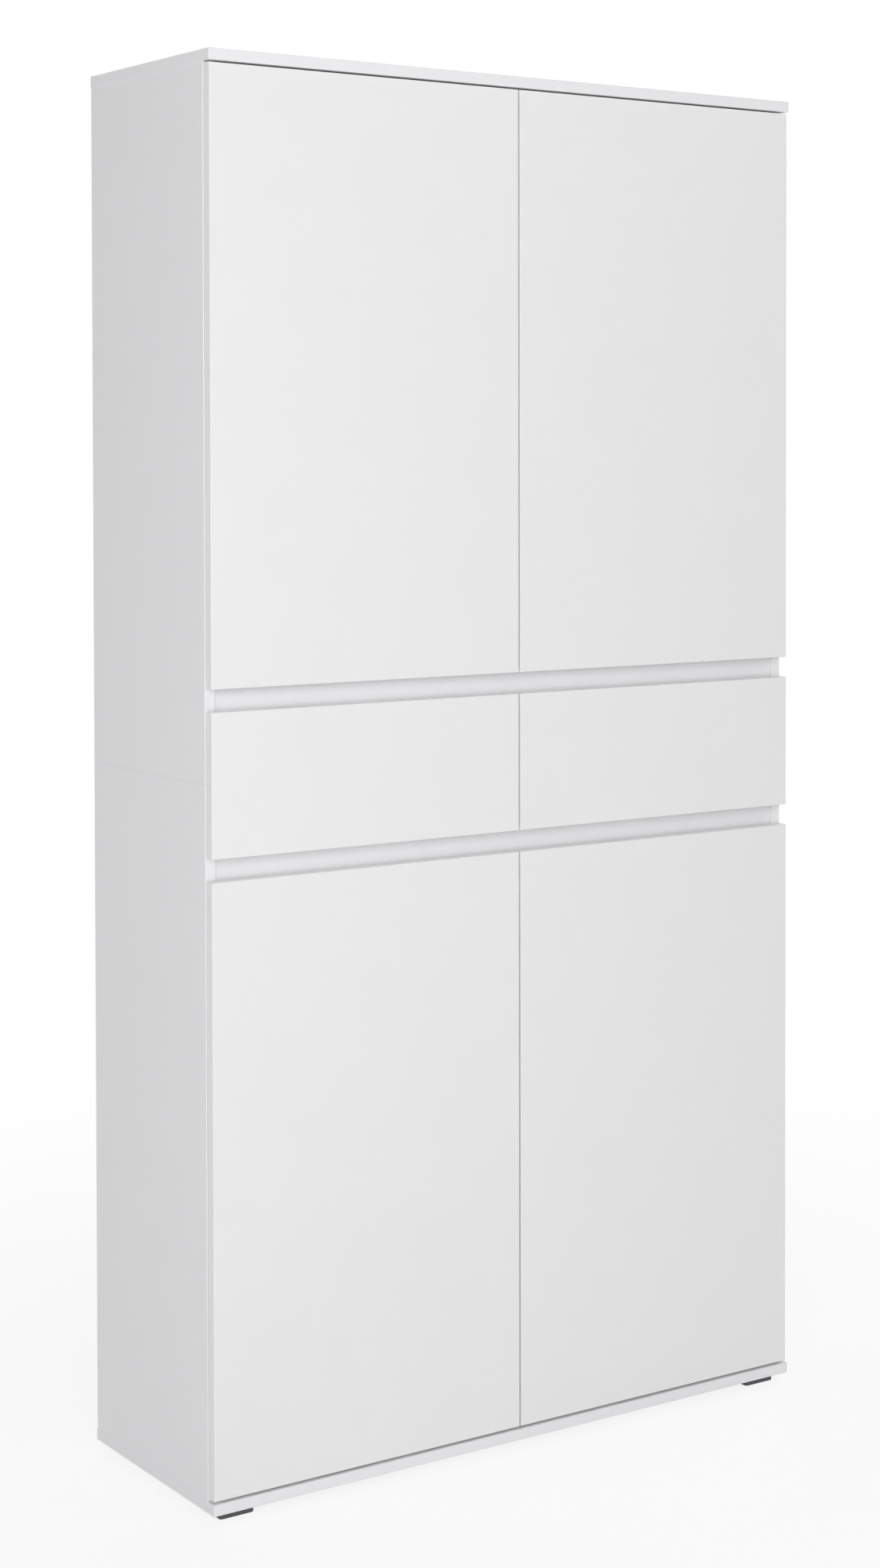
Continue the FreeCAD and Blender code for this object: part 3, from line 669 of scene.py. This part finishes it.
def drawer_fittings():
    roller, rivet = roller_model(), rivet_model()
    wall_rivets, wall_screws = [], []
    # Each run: faces of the wall and of the drawer, the ways that they look, and the sign of the
    # step from the wall to the drawer.
    runs = ((SIDE_INNER, DRAWER_OUTER, "-X", "+X", -1), (BAY_INNER, DRAWER_INNER, "+X", "-X", 1))
    for side_name, side in SIDES.items():
        drawer = side_name + "_drawer"
        front, rear, rivets, screws = [], [], [], []
        for wall, face, out, back, way in runs:
            near, far = way * ROLLER_GAP, way * (ROLLER_GAP + ROLLER_WIDTH)
            web = wall + way * RUNNER_SHEET
            front.append(MIRROR[side] @ at(web + near, *FRONT_ROLLER, FACING[out]))
            wall_rivets.append(MIRROR[side] @ at(web + far, *FRONT_ROLLER, FACING[out]))
            wall_screws += [MIRROR[side] @ at(web, y, FIXED_SCREW_Z, FACING[out])
                            for y in FIXED_SCREW_ROWS]
            web = face - way * RUNNER_SHEET
            rear.append(MIRROR[side] @ at(web - near, *REAR_ROLLER, FACING[back]))
            rivets.append(MIRROR[side] @ at(web - far, *REAR_ROLLER, FACING[back]))
            screws += [MIRROR[side] @ at(web, y, DRAWER_SCREW_Z, FACING[back])
                       for y in DRAWER_SCREW_ROWS]
        set_out(drawer + "_nylon_front_rollers", roller, front, drawer + "_front_rollers",
                roller_nylon, (drawer + "_front_rollers",))
        set_out(drawer + "_nylon_rear_rollers", roller, rear, drawer + "_rear_rollers",
                roller_nylon, (drawer + "_rear_rollers",))
        set_out(drawer + "_roller_rivets", rivet, rivets, drawer, zinc)
        set_out(drawer + "_runner_screws", flat, screws, drawer, zinc)
        inner_faces = ((DRAWER_OUTER - DRAWER_SIDE, "-X"), (DRAWER_INNER + DRAWER_SIDE, "+X"))
        cams = [MIRROR[side] @ at(x, DRAWER_CAM_Y, z, FACING[way])
                for x, way in inner_faces for z in DRAWER_CAM_HEIGHTS]
        set_out(drawer + "_cams", cam, cams, drawer, zinc)
    set_out("fixed_runner_rivets", rivet, wall_rivets, "carcass", zinc)
    set_out("fixed_runner_screws", flat, wall_screws, "carcass", zinc)
    return [roller, rivet]


# ---------------------------------------------------------------- carcass fittings

def seam_plate_model():
    """Flat plate over the joint of a side, 80 long along Y, with four screws."""
    thickness = 2
    plate = corners_rounded(blank(oblong((-9, 9), (-40, 40)), thickness), 3)
    parts = [moved(eased(plate, 0.3), at(0, 0, thickness / 2))]
    for y in (-32, -12, 12, 32):
        parts.append(copied(flat, at(0, y, thickness)))
    return joined(parts)


def bracket_model():
    """Angle bracket under the top panel, bent from strip, with the hole for the wall's screw
    and a screw up into the panel. Drawn about X 0."""
    leg, hole_at, thickness = 36, 24, 2
    upright, level = BACK_FRONT - thickness / 2, TOP_UNDER - thickness / 2
    places = [(BACK_FRONT - leg, level), (upright, level), (upright, TOP_UNDER - leg)]
    strip = bent_strip(places, width=20, thickness=thickness, bend=2.5)
    hole = turned([(2.75, -3), (2.75, 3)], 24)
    moved(hole, at(upright, TOP_UNDER - hole_at, 0, FACING["+X"]))
    angle = eased(cut(strip, hole), 0.3)
    moved(angle, sideways(0, 0, 0))
    screw = copied(pan, at(0, BACK_FRONT - hole_at, TOP_UNDER - thickness, FACING["-Z"]))
    return joined([angle, screw])


def shelf_pin_model():
    """Shelf support: a stem with a collar, and a flat tongue under the shelf along +Z. The
    shelf's underside is at Y 0 and the wall's face at Z 0."""
    tongue = corners_rounded(blank(oblong((-3.5, 3.5), (0.6, 8)), 2.2), 2.4,
                             lambda middle: middle.y > 4)
    moved(tongue, at(0, -1.1, 0, (90, 0, 0)) @ Matrix.Scale(-1, 4, (0, 1, 0)))
    web = blank([(-0.6, 0), (-4.0, 0), (-4.0, 1.4), (-1.6, 6.6), (-0.6, 6.6)], 2.4)
    moved(web, sideways(0, 0, 0))
    stem = turned([(2.0, -7.0), (2.45, -6.4), (2.45, -0.1), (3.4, 0.0), (3.4, 0.7), (3.0, 0.9)],
                  20)
    moved(stem, at(0, -2.5, 0))
    return assembled([eased(tongue, 0.35), eased(web, 0.2), stem])


def foot_model():
    """Moulded foot 50 square that stands on z 0, with a sunk hole underneath for its nail."""
    pad = corners_rounded(blank(oblong((-25, 25), (-25, 25)), FOOT_HEIGHT), 4)
    hole = turned([(5.2, -3), (4.2, 3)], 32)
    pad = cut(pad, moved(hole, at(0, 0, -5)))
    return moved(eased(pad, 1.0, 3), at(0, 0, FOOT_HEIGHT / 2))


def carcass_fittings():
    seam = seam_plate_model()
    upright = Matrix(((0, 0, -1, SIDE_INNER), (-1, 0, 0, 0), (0, 1, 0, SEAM_PLATE_MIDDLE),
                      (0, 0, 0, 1)))
    plates = both_sides([at(0, y, 0) @ upright for y in SEAM_PLATE_ROWS])
    set_out("joint_plates", seam, plates, "carcass", zinc, ("seam_plates",))

    bracket = bracket_model()
    set_out("wall_angles", bracket, [at(x, 0, 0) for x in (-BRACKET_X, BRACKET_X)], "carcass",
            zinc, ("wall_brackets",))

    support = shelf_pin_model()
    pins = []
    for under in SHELF_UNDERS:
        for y in PIN_ROWS:
            pins.append(sideways(BAY_INNER, y, under))
            pins.append(at(SIDE_INNER, y, under) @ MIRROR[-1] @ sideways(0, 0, 0))
    set_out("shelf_supports", support, both_sides(pins), "carcass", zinc, ("shelf_pins",))

    foot = foot_model()
    set_out("moulded_feet", foot, [at(x, y, 0) for x, y in FOOT_PLACES], "carcass", foot_plastic,
            ("feet",))
    return [seam, bracket, support, foot]


def small_fastenings():
    """Cam locks on the inner faces, and the nails that hold the back and the feet."""
    cams = [at(SIDE_INNER, y, z, FACING["-X"]) for y in CAM_ROWS
            for z in (BOTTOM_TOP + CAM_INSET, TOP_UNDER - CAM_INSET)]
    cams += [at(x, y, z, FACING["-Z"]) for y in CAM_ROWS
             for x in (BAY_INNER + CAM_INSET, SIDE_INNER - CAM_INSET)
             for z in (LOWER_SHELF_UNDER, UPPER_SHELF_UNDER)]
    cams = both_sides(cams)
    cams += [at(BAY_INNER, y, z, FACING["+X"]) for y in CAM_ROWS
             for z in (BOTTOM_TOP + CAM_INSET, LOWER_SHELF_UNDER - CAM_INSET,
                       UPPER_PARTITION_CAM_Z, TOP_UNDER - CAM_INSET)]
    set_out("cam_locks", cam, cams, "carcass", zinc)

    nailed = [(x, z) for x in (-SIDE_NAILED, 0, SIDE_NAILED) for z in NAIL_HEIGHTS
              if abs(z - SEAM_Z) > STRIP_REACH]
    nailed += [(x, z) for z in FLAT_BOARD_NAILS for x in NAIL_COLUMNS]
    nails = [at(x, BACK_REAR, z, FACING["+Y"]) for x, z in nailed]
    nails += [at(x, y, FOOT_NAIL_Z, FACING["-Z"]) for x, y in FOOT_PLACES]
    set_out("back_nails", nail, nails, "carcass", zinc)


models = hinges() + drawer_fittings() + carcass_fittings()
small_fastenings()
for model in models + [pan, flat, cam, nail]:
    bpy.data.objects.remove(model)


# ---------------------------------------------------------------- room, light and camera

FLOOR_DROP = 0.2                    # millimetres that the floor lies under the feet
FLOOR_RADIUS = 40                   # metres
SKY_LEVEL = 0.22                    # of the light that plain white all round would give
# Each softbox: its place, what it aims at, its size in metres and its watts.
SOFTBOXES = {
    "left_softbox": ((-2.5, -3.4, 2.3), (-0.2, 0.0, 1.0), 2.0, 69.0),
    "front_softbox": ((-1.2, -3.6, 0.4), (0.0, 0.0, 0.3), 1.6, 27.0),
    "right_softbox": ((1.8, -2.6, 3.2), (0.3, 0.0, 2.1), 1.4, 18.0),
    "side_softbox": ((-4.2, 0.4, 1.6), (0.0, 0.0, 1.0), 2.4, 19.0),
    "far_side_softbox": ((3.8, 1.4, 1.8), (0.4, 0.0, 1.0), 2.4, 45.0),
    "top_softbox": ((0.3, 1.3, 4.3), (0.1, 0.1, 1.9), 2.0, 30.0),
}
CAMERA_AT = (-2.1137, -3.3544, 1.3912)
CAMERA_YAW = 36.153                 # degrees to the right of straight at the front
CAMERA_PITCH = -1.43
CAMERA_LENS = 63.54
CAMERA_SHIFT = (-0.1295, -0.1707)
CAMERA_REACH = 200                  # metres


def seen_directly(tree):
    """1 for rays of the eye, of reflections and through glass, and 0 for scattered light."""
    path = add(tree, "ShaderNodeLightPath").outputs
    seen = reckon(tree, "MAXIMUM", path["Is Camera Ray"], path["Is Glossy Ray"])
    return reckon(tree, "MAXIMUM", seen, path["Is Transmission Ray"])


def studio_floor():
    """A pale floor that takes the cupboard's soft shadow and runs out to plain white."""
    bpy.ops.object.select_all(action="DESELECT")
    bpy.ops.mesh.primitive_circle_add(vertices=96, radius=FLOOR_RADIUS, fill_type="NGON",
                                      location=(0, 0, -FLOOR_DROP * MM))
    floor = bpy.context.object
    floor.name = "studio_floor"
    material, tree, place, output = new_material("studio paper")
    paper = add(tree, "ShaderNodeBsdfDiffuse", {"Color": linear("#FAFAFA")})
    glow = add(tree, "ShaderNodeEmission", {"Color": linear("#FFFFFF")})
    away = add(tree, "ShaderNodeVectorMath", {"Vector": place}, operation="LENGTH")
    # The share of plain white grows from 0.6 m to 2.2 m away from the middle.
    faded = spread(tree, away.outputs["Value"], 0.85, 1.0, 0.6, 2.2)
    share = reckon(tree, "MULTIPLY", seen_directly(tree), faded)
    both = add(tree, "ShaderNodeMixShader", {0: share, 1: paper.outputs["BSDF"],
                                             2: glow.outputs["Emission"]})
    tree.links.new(both.outputs["Shader"], output.inputs["Surface"])
    floor.data.materials.append(material)


def studio_world():
    """Even light from all round, and plain white where the eye or a reflection meets it."""
    world = bpy.data.worlds.new("studio")
    world.use_nodes = True
    tree = world.node_tree
    tree.nodes.clear()
    level = spread(tree, seen_directly(tree), SKY_LEVEL, 1.0, 0.0, 1.0)
    sky = add(tree, "ShaderNodeBackground", {"Color": linear("#FFFFFF"), "Strength": level})
    output = add(tree, "ShaderNodeOutputWorld")
    tree.links.new(sky.outputs["Background"], output.inputs["Surface"])
    bpy.context.scene.world = world


def softbox(name, place, aim, size, watts):
    bpy.ops.object.light_add(type="AREA", location=place)
    lamp = bpy.context.object
    lamp.name = name
    lamp.data.shape = "SQUARE"
    lamp.data.size = size
    lamp.data.energy = watts
    lamp.rotation_euler = (Vector(aim) - Vector(place)).to_track_quat("-Z", "Y").to_euler()


def camera():
    bpy.ops.object.camera_add(location=CAMERA_AT)
    eye = bpy.context.object
    eye.rotation_euler = (math.radians(90 + CAMERA_PITCH), 0, math.radians(-CAMERA_YAW))
    eye.data.lens = CAMERA_LENS
    eye.data.shift_x, eye.data.shift_y = CAMERA_SHIFT
    eye.data.clip_end = CAMERA_REACH
    bpy.context.scene.camera = eye


studio_floor()
studio_world()
for name, (place, aim, size, watts) in SOFTBOXES.items():
    softbox(name, place, aim, size, watts)
camera()
bpy.context.scene.view_settings.view_transform = "Standard"
